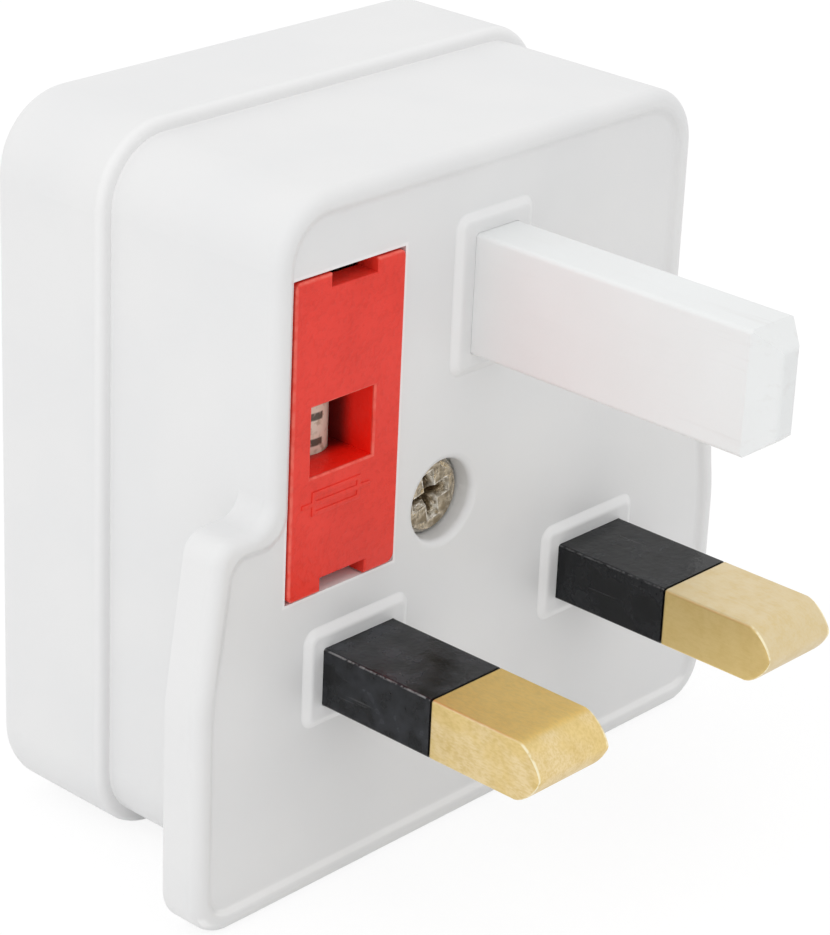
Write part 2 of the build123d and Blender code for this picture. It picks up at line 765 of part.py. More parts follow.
# Tray with a chamber for each contact
with BuildPart() as contact_tray:
    chamber_width = contact_width + 2 * tray_chamber_play
    chamber_height = 2 * (tray_half_height - tray_wall)
    tray_side = socket_half_pitch + chamber_width / 2 + tray_end_wall
    for side in sides:
        with BuildSketch(depth_plane(tray_front)):
            with Locations((side * socket_half_pitch, 0)):
                Rectangle(chamber_width + 2 * tray_end_wall, 2 * tray_half_height)
        extrude(amount=tray_front - tray_back)
        block(
            (side * tray_side - tray_rail_length, side * tray_side + tray_rail_length),
            (tray_back - tray_rail_thickness, tray_back),
            about(0, 2 * tray_half_height),
        )
        with BuildSketch(depth_plane(tray_inner)):
            with Locations((side * socket_half_pitch, 0)):
                Rectangle(chamber_width, chamber_height)
        extrude(amount=tray_inner - tray_back, mode=Mode.SUBTRACT)

    # Web and foot between the chambers
    web_half_width = socket_half_pitch - chamber_width / 2 - tray_end_wall
    block((-web_half_width, web_half_width), (tray_front, tray_inner), about(0, 2 * tray_half_height))
    block(about(0, tray_foot_width), (plug_inner, tray_front), about(0, tray_foot_height))

    # Slots for the live strap and for the leaves of the neutral contact
    block(
        (live_strap_x - strap_width / 2 - slot_play, live_foot_end + slot_play),
        (tray_inner, tray_inner + strap_thickness + slot_play),
        (contact_gap / 2 - slot_play, tray_half_height),
        mode=Mode.SUBTRACT,
    )
    leaf_middle = (contact_gap + strap_thickness) / 2
    for side in sides:
        block(
            about(socket_half_pitch, contact_width + 2 * slot_play),
            (tray_front, tray_inner),
            about(side * leaf_middle, strap_thickness + 2 * slot_play),
            mode=Mode.SUBTRACT,
        )

# Shutter: two ramped blades on a crossbar, with a tongue that takes the spring
with BuildPart() as shutter:
    for side in sides:
        with BuildSketch(Plane.YZ.offset(side * socket_half_pitch)):
            with BuildLine():
                Polyline(
                    (shutter_front, blade_top),
                    (shutter_front + blade_lip, blade_top),
                    (shutter_back, blade_top - ramp_drop),
                    (shutter_back, -blade_top),
                    (shutter_front, -blade_top),
                    close=True,
                )
            make_face()
        extrude(amount=blade_half_width, both=True)
    block(
        (-shutter_side, shutter_side),
        (shutter_front, shutter_front + crossbar_thickness),
        (crossbar_bottom, -blade_top),
    )
    block(
        (-tongue_half_width, tongue_half_width),
        (shutter_front, shutter_back),
        (crossbar_bottom, tongue_top),
    )
    block(
        (-socket_half_pitch, socket_half_pitch),
        (shutter_front, shutter_front + blade_lip),
        (-blade_top, tongue_top),
    )
    with BuildSketch(Plane.XY.offset(crossbar_bottom)):
        with Locations((0, spring_y)):
            Circle(spring_pocket_radius)
    extrude(amount=spring_top - crossbar_bottom, mode=Mode.SUBTRACT)

# Coil spring under the shutter
with BuildPart() as shutter_spring:
    coil_radius = spring_radius - spring_wire / 2
    coil_height = spring_top - socket_floor - spring_wire
    with BuildLine() as coil:
        Helix(
            pitch=coil_height / spring_turns,
            height=coil_height,
            radius=coil_radius,
            center=(0, spring_y, socket_floor + spring_wire / 2),
        )
    with BuildSketch(Plane(coil.line @ 0, z_dir=coil.line % 0)):
        RegularPolygon(spring_wire / 2, spring_wire_sides)
    sweep(path=coil.line, is_frenet=True)

pieces = {
    "plug_housing": plug_housing,
    "socket_housing": socket_housing,
    "earth_pin": earth_pin,
    **line_pins,
    **pin_sleeves,
    "housing_screw": housing_screw,
    "fuse_body": fuse_body,
    **fuse_caps,
    "fuse_wire": fuse_wire,
    "fuse_carrier": fuse_carrier,
    "fuse_clip_lower": fuse_clip_lower,
    "fuse_clip_upper": fuse_clip_upper,
    "live_contact": live_contact,
    "neutral_contact": neutral_contact,
    "contact_tray": contact_tray,
    "shutter": shutter,
    "shutter_spring": shutter_spring,
}
os.makedirs("parts", exist_ok=True)
for name, piece in pieces.items():
    piece.part.label = name
    export_step(piece.part, f"parts/{name}.step")
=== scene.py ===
import json
import math

import bmesh
import bpy
from bpy.props import FloatProperty, FloatVectorProperty, PointerProperty
from mathutils import Matrix, Vector


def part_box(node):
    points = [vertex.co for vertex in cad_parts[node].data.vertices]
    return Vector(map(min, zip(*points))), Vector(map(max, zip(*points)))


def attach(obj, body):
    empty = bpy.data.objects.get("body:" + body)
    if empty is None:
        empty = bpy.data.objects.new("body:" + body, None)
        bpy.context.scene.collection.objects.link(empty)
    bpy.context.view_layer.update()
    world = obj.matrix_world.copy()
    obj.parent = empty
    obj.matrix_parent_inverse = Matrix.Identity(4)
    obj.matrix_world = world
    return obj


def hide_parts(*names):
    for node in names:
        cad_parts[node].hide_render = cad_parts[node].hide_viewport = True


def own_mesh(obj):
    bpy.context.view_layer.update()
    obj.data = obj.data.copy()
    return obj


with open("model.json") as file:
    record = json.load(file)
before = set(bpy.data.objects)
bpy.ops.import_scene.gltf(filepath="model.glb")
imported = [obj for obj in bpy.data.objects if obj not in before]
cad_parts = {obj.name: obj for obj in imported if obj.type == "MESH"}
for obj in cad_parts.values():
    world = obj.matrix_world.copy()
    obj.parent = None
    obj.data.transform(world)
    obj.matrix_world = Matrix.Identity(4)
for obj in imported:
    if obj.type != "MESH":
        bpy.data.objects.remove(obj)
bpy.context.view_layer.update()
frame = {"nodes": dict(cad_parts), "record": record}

bl_info = {
    "name": "Shaver plug adapter",
    "version": (1, 0, 0),
    "blender": (4, 5, 0),
    "location": "View3D > Sidebar > Adapter",
    "description": "Finishes, small shapes, light and camera for a shaver plug adapter",
    "category": "Object",
}

MM = 0.001


def middle_and_half(name):
    """Middle and half size of a CAD node's box."""
    low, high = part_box(name)
    return (low + high) / 2, (high - low) / 2


# Places of CAD nodes that the finishes follow
CARRIER, CARRIER_HALF = middle_and_half("fuse_carrier")
CARRIER_FACE = CARRIER.y - CARRIER_HALF.y
SCREW, SCREW_HALF = middle_and_half("housing_screw")
SCREW_FACE = SCREW.y - SCREW_HALF.y
FUSE = middle_and_half("fuse_body")[0]
SLEEVE, SLEEVE_HALF = middle_and_half("neutral_pin_sleeve")
SLEEVE_END = SLEEVE.y - SLEEVE_HALF.y
PIN_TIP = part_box("live_pin")[0].y
EARTH_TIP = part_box("earth_pin")[0].y
# Places on the plug half that no node's box gives
SEAM = 14.3 * MM
RIM_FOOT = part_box("plug_housing")[0].z + 1.35 * MM
SLOPE_DEPTH = 0.36 * MM
PAD_SIDE = 16.3 * MM
PAD_FOOT = -5 * MM
PAD_TOP = 28.5 * MM
WELL_RADIUS = 2.7 * MM
WELL_DEPTH = 4 * MM

# How meshes are joined and shaded
JOIN_DISTANCE = 0.001 * MM
NOSE_ANGLE = math.radians(38)
EDGE_ANGLE = math.radians(40)


def colour(name, description, default):
    return FloatVectorProperty(
        name=name, description=description, subtype="COLOR", size=3, min=0.0, max=1.0, default=default
    )


def length(name, description, default):
    return FloatProperty(
        name=name, description=description, unit="LENGTH", precision=5, min=0.0, default=default
    )


def share(name, description, default):
    return FloatProperty(
        name=name, description=description, subtype="FACTOR", min=0.0, max=1.0, default=default
    )


def angle(name, description, degrees):
    return FloatProperty(name=name, description=description, subtype="ANGLE", default=math.radians(degrees))


def power(name, description, default):
    return FloatProperty(name=name, description=description, unit="POWER", min=0.0, default=default)


def position(name, description, default):
    return FloatVectorProperty(
        name=name,
        description=description,
        subtype="TRANSLATION",
        unit="LENGTH",
        precision=5,
        default=default,
    )


class HousingFinish(bpy.types.PropertyGroup):
    """Plastic of the two housing halves and the earth pin"""

    plastic: colour("Plastic", "Main colour of the two halves", (0.78, 0.78, 0.78))
    plastic_cool: colour("Cool plastic", "Slightly darker patches in the plastic", (0.765, 0.767, 0.77))
    # Painted light: paler plastic at the seam, lifting the shade in its groove
    seam: colour("Seam", "Paler plastic at the seam", (0.84, 0.84, 0.84))
    # Painted light: paler plastic that lights up the shaded walls of the fuse bay
    bay: colour("Fuse bay", "Clean, pale plastic in the fuse bay", (0.97, 0.95, 0.95))
    # Painted highlight: paler plastic on the slopes of the rim and the pads, in the shares below
    slope: colour("Slopes", "Paler plastic on the slopes of the rim and the pads", (0.92, 0.92, 0.92))
    pad_pale: share("Pale pads", "Share of that paler plastic on the pads' slopes", 0.35)
    rim_pale: share("Pale rim", "Share of that paler plastic on the rim's lower slope", 0.75)
    # Darker plastic deep in the screw's well
    well_dark: colour("Dust", "Dust deep in the screw's well", (0.5, 0.49, 0.48))
    earth: colour("Earth pin", "Colour of the plastic earth pin", (0.81, 0.825, 0.825))
    earth_rub: colour("Earth pin rub", "Rubbed marks along the earth pin", (0.72, 0.71, 0.7))
    flange_round: length("Flange round", "Round of the flange's lower corners on the CAD piece", 5.0 * MM)
    corner_round: length("Corner round", "Tighter round that these corners get", 3.1 * MM)
    grain: length("Grain", "Size of the moulded grain", 0.3 * MM)
    roughness: share("Roughness", "Roughness of the moulded surface", 0.4)


class PinFinish(bpy.types.PropertyGroup):
    """Brass pins and their insulating sleeves"""

    brass: colour("Brass", "Main colour of the brass", (0.845, 0.65, 0.3))
    # Duller patches, and also the painted reflection that darkens the neutral pin's sides
    brass_dull_and_shaded: colour("Dull brass", "Duller patches in the brass", (0.715, 0.53, 0.2))
    # Painted reflection: deeper gold on top of the live pin, where dark surroundings would mirror
    brass_top_reflection: colour("Deep brass", "Deeper gold on top of the live pin", (0.85, 0.6, 0.2))
    # Painted reflection: paler brass on the neutral pin, away from its sides
    brass_pale_reflection: colour("Pale brass", "Paler brass on top of the neutral pin", (0.76, 0.64, 0.42))
    # Painted reflection: paler patches on the live pin's sides, where white surroundings would mirror
    brass_side_reflection: colour("Beige brass", "Paler patches on the sides of the live pin", (0.9, 0.74, 0.47))
    # Rubbed wear along the pins' long edges, and a painted highlight along the noses' side edges
    brass_rubbed_and_highlight: colour("Rubbed brass", "Brass rubbed bright along its edges", (0.97, 0.88, 0.62))
    joint_dirt: colour("Joint dirt", "Dirt where the brass meets the sleeve", (0.1, 0.07, 0.03))
    sleeve: colour("Sleeve", "Main colour of the sleeves", (0.005, 0.0055, 0.006))
    sleeve_cloud: colour("Sleeve clouds", "Greyer patches in the sleeves", (0.034, 0.037, 0.044))
    sleeve_scuff: colour("Sleeve scuffs", "Pale scuffs along the sleeves' edges", (0.3, 0.3, 0.3))
    drawn_lines: length("Drawn lines", "Spacing of the drawn lines in the brass", 0.15 * MM)
    nose_length: length("Nose length", "Length of the rounded nose of a brass pin", 1.87 * MM)
    nose_fullness: FloatProperty(
        name="Nose fullness", description="1 gives a wedge, 2 an ellipse", min=1.0, max=2.0, default=1.5
    )


class ScrewFinish(bpy.types.PropertyGroup):
    """Screw that holds the halves together"""

    plate: colour("Plate", "Colour of the plating", (0.62, 0.55, 0.44))
    worn: colour("Worn plate", "Duller patches of the plating", (0.28, 0.23, 0.16))
    # Rubbed wear along the edges of the cross recess, and a painted highlight round the head's rim
    bright: colour("Bright plate", "Plating rubbed bright along its edges", (0.95, 0.92, 0.86))
    # Darker plating deep in the cross recess
    recess_dark: colour("Dirt", "Dirt in the cross recess", (0.2, 0.16, 0.11))
    slot_length: length("Slot length", "Length of the cross recess", 3.3 * MM)
    slot_width: length("Slot width", "Width of the cross recess", 1.0 * MM)
    slot_turn: angle("Slot turn", "Turn of the cross recess", 13)


class CarrierFinish(bpy.types.PropertyGroup):
    """Red fuse carrier and the raised fuse symbol on it"""

    red: colour("Red", "Main colour of the carrier", (0.84, 0.044, 0.027))
    red_deep: colour("Deep red", "Deeper patches of the carrier", (0.72, 0.03, 0.016))
    # Painted light: brighter, purer red that lights up the walls behind the face
    red_lit_wall: colour("Wall red", "Clean red of the window's walls", (0.98, 0.016, 0.006))
    red_rubbed: colour("Rubbed red", "Paler red along the edges", (0.92, 0.2, 0.15))
    # Painted shade: dark red deep behind the window
    red_painted_shade: colour("Dark red", "Red of the deep, dusty part behind the window", (0.16, 0.005, 0.004))
    window_width: length("Window width", "Width of the window", 5.4 * MM)
    window_height: length("Window height", "Height of the window", 4.6 * MM)
    window_drop: length("Window drop", "Distance of the window below the carrier's middle", 0.15 * MM)
    window_shift: length("Window shift", "Distance of the window left of the carrier's middle", 0.37 * MM)
    symbol_drop: length("Symbol drop", "Distance of the symbol below the carrier's middle", 4.2 * MM)
    symbol_shift: length("Symbol shift", "Distance of the symbol left of the carrier's middle", 0.8 * MM)
    line_length: length("Line length", "Length of the symbol's line", 5.9 * MM)
    box_width: length("Box width", "Width of the symbol's box", 4.2 * MM)
    box_height: length("Box height", "Height of the symbol's box", 1.6 * MM)
    stroke: length("Stroke", "Width of the symbol's strokes", 0.3 * MM)
    rise: length("Rise", "Height of the symbol above the face", 0.08 * MM)


class FuseFinish(bpy.types.PropertyGroup):
    """Cartridge fuse"""

    ceramic: colour("Ceramic", "Colour of the ceramic tube", (0.74, 0.73, 0.61))
    speckle: colour("Speckle", "Speckles in the glaze", (0.47, 0.44, 0.33))
    bar: colour("Bars", "Printed bars on the tube", (0.09, 0.095, 0.07))
    cap: colour("Caps", "Plated metal of the caps", (0.66, 0.65, 0.62))
    bar_width: length("Bar width", "Width of a printed bar", 0.5 * MM)
    bar_step: length("Bar step", "Distance from bar to bar", 1.7 * MM)
    bar_length: length("Bar length", "Length of a printed bar", 1.5 * MM)
    bar_shift: length("Bar shift", "Distance of the bars left of the tube's middle", 0.4 * MM)
    print_length: length("Print length", "Length of the tube that carries bars", 7.2 * MM)


class InnerFinish(bpy.types.PropertyGroup):
    """Strips, tray, shutter and spring inside the housing"""

    strip: colour("Strip", "Rolled brass strip", (0.74, 0.56, 0.26))
    strip_dull: colour("Dull strip", "Duller patches of the strip", (0.56, 0.41, 0.18))
    tray: colour("Tray", "Plastic of the tray and the shutter", (0.64, 0.64, 0.63))
    tray_dull: colour("Dull tray", "Duller patches of that plastic", (0.56, 0.56, 0.55))
    steel: colour("Spring", "Spring wire", (0.55, 0.55, 0.56))


class StageSettings(bpy.types.PropertyGroup):
    """Floor, light and camera"""

    camera_place: position(
        "Camera place", "Where the camera stands", (-142.04 * MM, -121.58 * MM, 93.26 * MM)
    )
    azimuth: angle("Azimuth", "Turn of the camera about the vertical", -48.07)
    elevation: angle("Elevation", "Downward tilt of the camera", 24.07)
    roll: angle("Roll", "Turn of the camera about its own axis", 2.62)
    lens: FloatProperty(name="Lens", description="Focal length in millimetres", min=10.0, default=123.89)
    floor: colour("Floor", "Colour of the floor", (0.93, 0.93, 0.93))
    floor_size: length("Floor size", "Side of the square floor", 4.0)
    floor_white: FloatProperty(
        name="Floor white", description="Brightness of the lit floor to the camera", min=0.0, default=1.02
    )
    floor_shade: share("Floor shade", "Share of the floor's white that a shadow takes away", 0.16)
    ambient: share("Ambient", "Strength of the even light all round", 0.88)
    key_place: position("Key light place", "Where the light on the left stands", (-0.42, 0.0, 0.34))
    key_size: length("Key light size", "Side of the light on the left", 0.4)
    key_power: power("Key light", "Power of the light on the left", 0.5)
    top_place: position("Top light place", "Where the light above hangs", (0.05, -0.05, 0.5))
    top_size: length("Top light size", "Side of the light above", 0.5)
    top_power: power("Top light", "Power of the light above", 0.25)


class Value:
    """A node's output, which adds Math nodes when it is used in an expression."""

    def __init__(self, finish, socket):
        self.finish = finish
        self.socket = socket

    def pick(self, name):
        return Value(self.finish, self.socket.node.outputs[name])

    def math(self, operation, *terms):
        return self.finish.node("ShaderNodeMath", {"operation": operation}, dict(enumerate(terms)))

    def __add__(self, other):
        return self.math("ADD", self, other)

    def __radd__(self, other):
        return self.math("ADD", other, self)

    def __sub__(self, other):
        return self.math("SUBTRACT", self, other)

    def __rsub__(self, other):
        return self.math("SUBTRACT", other, self)

    def __mul__(self, other):
        return self.math("MULTIPLY", self, other)

    def __rmul__(self, other):
        return self.math("MULTIPLY", other, self)

    def __mod__(self, other):
        return self.math("FLOORED_MODULO", self, other)

    def __abs__(self):
        return self.math("ABSOLUTE", self)

    def root(self):
        return self.math("SQRT", self)

    def over(self, other):
        """The larger of the two."""
        return self.math("MAXIMUM", self, other)

    def under(self, other):
        """The smaller of the two."""
        return self.math("MINIMUM", self, other)

    def rise(self, low, high):
        """0 at low, 1 at high, with a smooth run between them."""
        return self.finish.node(
            "ShaderNodeMapRange",
            {"interpolation_type": "SMOOTHSTEP"},
            {"Value": self, "From Min": low, "From Max": high, "To Min": 0.0, "To Max": 1.0},
        )

    def fall(self, low, high):
        """1 at low, 0 at high, with a smooth run between them."""
        return 1 - self.rise(low, high)


class Finish:
    """One node tree, with the nodes that the finishes share."""

    def __init__(self, owner):
        self.owner = owner
        owner.use_nodes = True
        self.tree = owner.node_tree
        self.tree.nodes.clear()

    def node(self, kind, settings, sockets, output=0):
        """Adds a node, sets it up, fills or links its sockets and gives one of its outputs."""
        made = self.tree.nodes.new(kind)
        for key, setting in settings.items():
            setattr(made, key, setting)
        for key, filling in sockets.items():
            if isinstance(filling, Value):
                self.tree.links.new(filling.socket, made.inputs[key])
            else:
                made.inputs[key].default_value = filling
        return Value(self, made.outputs[output]) if made.outputs else None

    def place(self):
        return self.node("ShaderNodeTexCoord", {}, {}, "Object")

    def axes(self):
        split = self.node("ShaderNodeSeparateXYZ", {}, {0: self.place()})
        return split, split.pick("Y"), split.pick("Z")

    def facing(self):
        """Parts of the surface's normal along X and Z."""
        normal = self.node("ShaderNodeNewGeometry", {}, {}, "Normal")
        split = self.node("ShaderNodeSeparateXYZ", {}, {0: normal})
        return split, split.pick("Z")

    def noise(self, size, detail=2.0, stretch=(1.0, 1.0, 1.0)):
        """Noise from 0 to 1, in patches of about this size, drawn out along the axes by stretch."""
        where = self.place()
        if stretch != (1.0, 1.0, 1.0):
            where = self.node("ShaderNodeMapping", {}, {"Vector": where, "Scale": [1 / s for s in stretch]})
        return self.node(
            "ShaderNodeTexNoise",
            {"noise_dimensions": "3D"},
            {"Vector": where, "Scale": 1 / size, "Detail": detail},
        )

    def mix(self, factor, first, second):
        """Colour between two colours."""
        tones = [tone if isinstance(tone, Value) else (*tone, 1.0) for tone in (first, second)]
        return self.node("ShaderNodeMix", {"data_type": "RGBA"}, {0: factor, 6: tones[0], 7: tones[1]}, 2)

    def bump(self, height, depth):
        return self.node("ShaderNodeBump", {}, {"Height": height, "Distance": depth})

    def light_rays(self):
        """1 for rays from the camera and through mirrors or glass, 0 for the light that falls on things."""
        path = self.node("ShaderNodeLightPath", {}, {}, "Is Camera Ray")
        return path.over(path.pick("Is Glossy Ray")).over(path.pick("Is Transmission Ray"))

    def surface(self, sockets):
        """Ends the tree in a Principled surface with these sockets and gives the material."""
        shader = self.node("ShaderNodeBsdfPrincipled", {}, sockets)
        self.node("ShaderNodeOutputMaterial", {}, {"Surface": shader})
        return self.owner


def new_finish(name):
    """Empty node tree of a new material."""
    return Finish(bpy.data.materials.new(name))


def frame_distance(x, z, middle, half_width, half_height):
    """Distance outside a rectangle in the plug face's plane, negative inside it."""
    return (abs(x - middle.x) - half_width).over(abs(z - middle.z) - half_height)


def around_screw(x, z):
    """Offsets from the screw's axis, across and up, and the distance from it."""
    across = x - SCREW.x
    up = z - SCREW.z
    return across, up, (across * across + up * up).root()


def neutral_side(x):
    """0 on the live pin's side, 1 on the neutral pin's."""
    return x.rise(-2 * MM, 2 * MM)


def inside_pin(x):
    """Distance from the nearer side of a metal pin or its sleeve, towards its middle."""
    return SLEEVE_HALF.x - abs(abs(x) - SLEEVE.x)


def pin_edge(x, z):
    """1 along the long edges of the metal pins and their sleeves."""
    from_top = SLEEVE_HALF.z - abs(z)
    return inside_pin(x).over(from_top).fall(0.05 * MM, 0.15 * MM)


def shell_plastic(look):
    """Satin white moulding, with painted light that makes it paler at the seam, the slopes and the fuse
    bay, and darker deep in the screw's well.
    """
    finish = new_finish("shell_plastic")
    x, y, z = finish.axes()
    clouds = finish.noise(9 * MM).rise(0.35, 0.65)
    tone = finish.mix(clouds, look.plastic_cool, look.plastic)
    # Painted light: paler at the seam, where the groove lies in shade
    tone = finish.mix(abs(y - SEAM - 0.1 * MM).fall(0.1 * MM, 0.5 * MM), tone, look.seam)
    # Painted highlight: paler on the pads' slopes and the rim's lower slope
    slopes = y.rise(0.0, 0.1 * MM) * y.fall(SLOPE_DEPTH - 0.1 * MM, SLOPE_DEPTH)
    pads = abs(x).fall(PAD_SIDE, PAD_SIDE + 0.3 * MM)
    pads = pads * z.rise(PAD_FOOT - 1 * MM, PAD_FOOT) * z.fall(PAD_TOP, PAD_TOP + 0.5 * MM)
    rim = abs(z - RIM_FOOT).fall(0.2 * MM, 0.6 * MM)
    tone = finish.mix(slopes * (look.pad_pale * pads + look.rim_pale * rim), tone, look.slope)
    # Painted light: paler walls in the fuse bay, which lie in shade
    bay = frame_distance(x, z, CARRIER, CARRIER_HALF.x, CARRIER_HALF.z).fall(0.2 * MM, 0.4 * MM)
    bay = bay * y.rise(0.2 * MM, 0.5 * MM) * y.fall(SEAM - 1 * MM, SEAM)
    tone = finish.mix(bay, tone, look.bay)
    # Darker in noisy patches deep in the screw's well
    radius = around_screw(x, z)[2]
    well = radius.fall(WELL_RADIUS, WELL_RADIUS + 0.2 * MM)
    well = well * y.rise(0.9 * MM, 2.2 * MM) * y.fall(WELL_DEPTH, WELL_DEPTH + 1 * MM)
    darkened = well * (0.2 + 0.3 * finish.noise(1.2 * MM, 4.0).rise(0.3, 0.75))
    grain = finish.noise(look.grain, 3.0)
    waves = finish.noise(14 * MM, 1.0)
    scratches = finish.noise(0.4 * MM, 2.0, (1.0, 14.0, 20.0)).rise(0.66, 0.74)
    return finish.surface(
        {
            "Base Color": finish.mix(darkened, tone, look.well_dark),
            "Roughness": look.roughness + 0.1 * (finish.noise(2.5 * MM, 3.0) - 0.5) - 0.05 * scratches,
            "Normal": finish.bump(0.2 * grain + 0.6 * waves + 0.05 * scratches, 0.03 * MM),
        }
    )


def earth_plastic(look):
    """White moulding, rubbed along its length by sockets."""
    finish = new_finish("earth_plastic")
    y = finish.axes()[1]
    rubs = finish.noise(0.5 * MM, 3.0, (1.0, 18.0, 1.0)).rise(0.55, 0.75)
    near_tip = y.fall(EARTH_TIP + 2 * MM, EARTH_TIP + 9 * MM)
    clouds = finish.noise(5 * MM).rise(0.3, 0.7)
    grain = finish.noise(look.grain, 3.0)
    tone = finish.mix(0.14 * clouds + rubs * (0.05 + 0.25 * near_tip), look.earth, look.earth_rub)
    return finish.surface(
        {
            "Base Color": tone,
            "Roughness": 0.48 + 0.12 * rubs,
            "Normal": finish.bump(0.3 * grain + finish.noise(11 * MM, 1.0), 0.03 * MM),
        }
    )


def pin_brass(look):
    """Satin brass with drawn lines and painted reflections, deeper on top of the live pin and paler on the
    neutral one, with a painted highlight on the noses.
    """
    finish = new_finish("pin_brass")
    x, y, z = finish.axes()
    lines = finish.noise(look.drawn_lines, 2.0, (1.0, 60.0, 1.0))
    patches = finish.noise(1.1 * MM, 5.0).rise(0.35, 0.75)
    grain = finish.noise(0.16 * MM, 3.0, (1.0, 2.5, 1.0)).rise(0.35, 0.7)
    across, up = finish.facing()
    on_side = abs(across).rise(0.3, 0.8)
    on_top = up.rise(0.85, 0.97)
    neutral = neutral_side(x)
    live = 1 - neutral
    # Painted reflections: the live pin deeper on top and paler in patches on its sides, the neutral pin
    # paler away from its sides
    tone = finish.mix(on_top * live, look.brass, look.brass_top_reflection)
    tone = finish.mix(neutral * (1 - on_side), tone, look.brass_pale_reflection)
    reflection_patches = finish.noise(2.6 * MM, 5.0).rise(0.42, 0.62)
    tone = finish.mix(0.7 * reflection_patches * live * (1 - on_top), tone, look.brass_side_reflection)
    dull = 0.22 * patches + 0.12 * lines + 0.5 * grain * (1 - 0.6 * neutral)
    # Painted reflection: the neutral pin's sides darker
    dull = dull + 0.2 * neutral * on_side
    tone = finish.mix(dull, tone, look.brass_dull_and_shaded)
    # Painted highlight along the noses' side edges, broken up by noise, over rubbed wear along the long
    # edges
    nose_highlight = inside_pin(x).fall(0.1 * MM, 0.22 * MM) * y.fall(PIN_TIP + 1.3 * MM, PIN_TIP + 2.0 * MM)
    rubbed = finish.noise(0.5 * MM, 3.0).rise(0.3, 0.55)
    worn_edge_and_highlight = (0.25 * pin_edge(x, z)).over(nose_highlight * rubbed * abs(across).fall(0.6, 0.97))
    tone = finish.mix(worn_edge_and_highlight, tone, look.brass_rubbed_and_highlight)
    joint = abs(y - SLEEVE_END).fall(0.05 * MM, 0.3 * MM)
    tone = finish.mix(0.7 * joint, tone, look.joint_dirt)
    return finish.surface(
        {
            "Base Color": tone,
            "Metallic": 1.0,
            "Roughness": 0.34 + 0.1 * patches + 0.1 * lines,
            "Normal": finish.bump(lines + finish.noise(0.8 * MM, 3.0), 0.008 * MM),
        }
    )


def sleeve_plastic(look):
    """Black insulation with greyer clouds, and pale scuffs along its edges, more on the live pin."""
    finish = new_finish("sleeve_black")
    x, _, z = finish.axes()
    live = 1 - neutral_side(x)
    clouds = finish.noise(1.8 * MM, 5.0).rise(0.28, 0.85)
    tone = finish.mix(clouds * (0.3 + 0.7 * live), look.sleeve, look.sleeve_cloud)
    nicks = finish.noise(0.4 * MM, 4.0).rise(0.38, 0.58)
    scuffs = pin_edge(x, z) * nicks * (0.35 + 0.65 * live)
    scratches = finish.noise(0.25 * MM, 2.0, (1.0, 22.0, 1.0)).rise(0.68, 0.76)
    tone = finish.mix(0.75 * scuffs + 0.12 * scratches, tone, look.sleeve_scuff)
    return finish.surface(
        {
            "Base Color": tone,
            "Roughness": 0.14 + 0.22 * clouds + 0.2 * scuffs,
            "Specular IOR Level": 0.25,
            "Normal": finish.bump(finish.noise(0.5 * MM, 4.0) + 0.6 * clouds, 0.02 * MM),
        }
    )


def screw_plate(look):
    """Worn plating, rubbed bright along the edges of the cross recess, with a painted highlight round the
    head's rim, and darker deep in the recess.
    """
    finish = new_finish("screw_nickel")
    x, y, z = finish.axes()
    patches = finish.noise(0.6 * MM, 5.0).rise(0.35, 0.68)
    tone = finish.mix(patches, look.plate, look.worn)
    across, up, radius = around_screw(x, z)
    cos, sin = math.cos(look.slot_turn), math.sin(look.slot_turn)
    along = abs(across * cos + up * sin)
    beside = abs(up * cos - across * sin)
    wide = (along - look.slot_length / 2).over(beside - look.slot_width / 2)
    tall = (along - look.slot_width / 2).over(beside - look.slot_length / 2)
    slot_edge = abs(wide.under(tall) + 0.05 * MM).fall(0.05 * MM, 0.2 * MM)
    # Painted highlight round the rim of the head
    rim = radius.rise(SCREW_HALF.x - 0.3 * MM, SCREW_HALF.x - 0.1 * MM)
    # Darker deep in the cross recess, except at the rim
    deep = y.rise(SCREW_FACE + 0.1 * MM, SCREW_FACE + 0.8 * MM)
    tone = finish.mix(0.85 * deep * (1 - rim), tone, look.recess_dark)
    chips = finish.noise(0.5 * MM, 4.0).rise(0.3, 0.6)
    tone = finish.mix((slot_edge * chips).over(0.7 * rim), tone, look.bright)
    return finish.surface(
        {
            "Base Color": tone,
            "Metallic": 1.0,
            "Roughness": 0.22 + 0.25 * patches,
            "Normal": finish.bump(finish.noise(0.35 * MM, 4.0) + patches, 0.05 * MM),
        }
    )


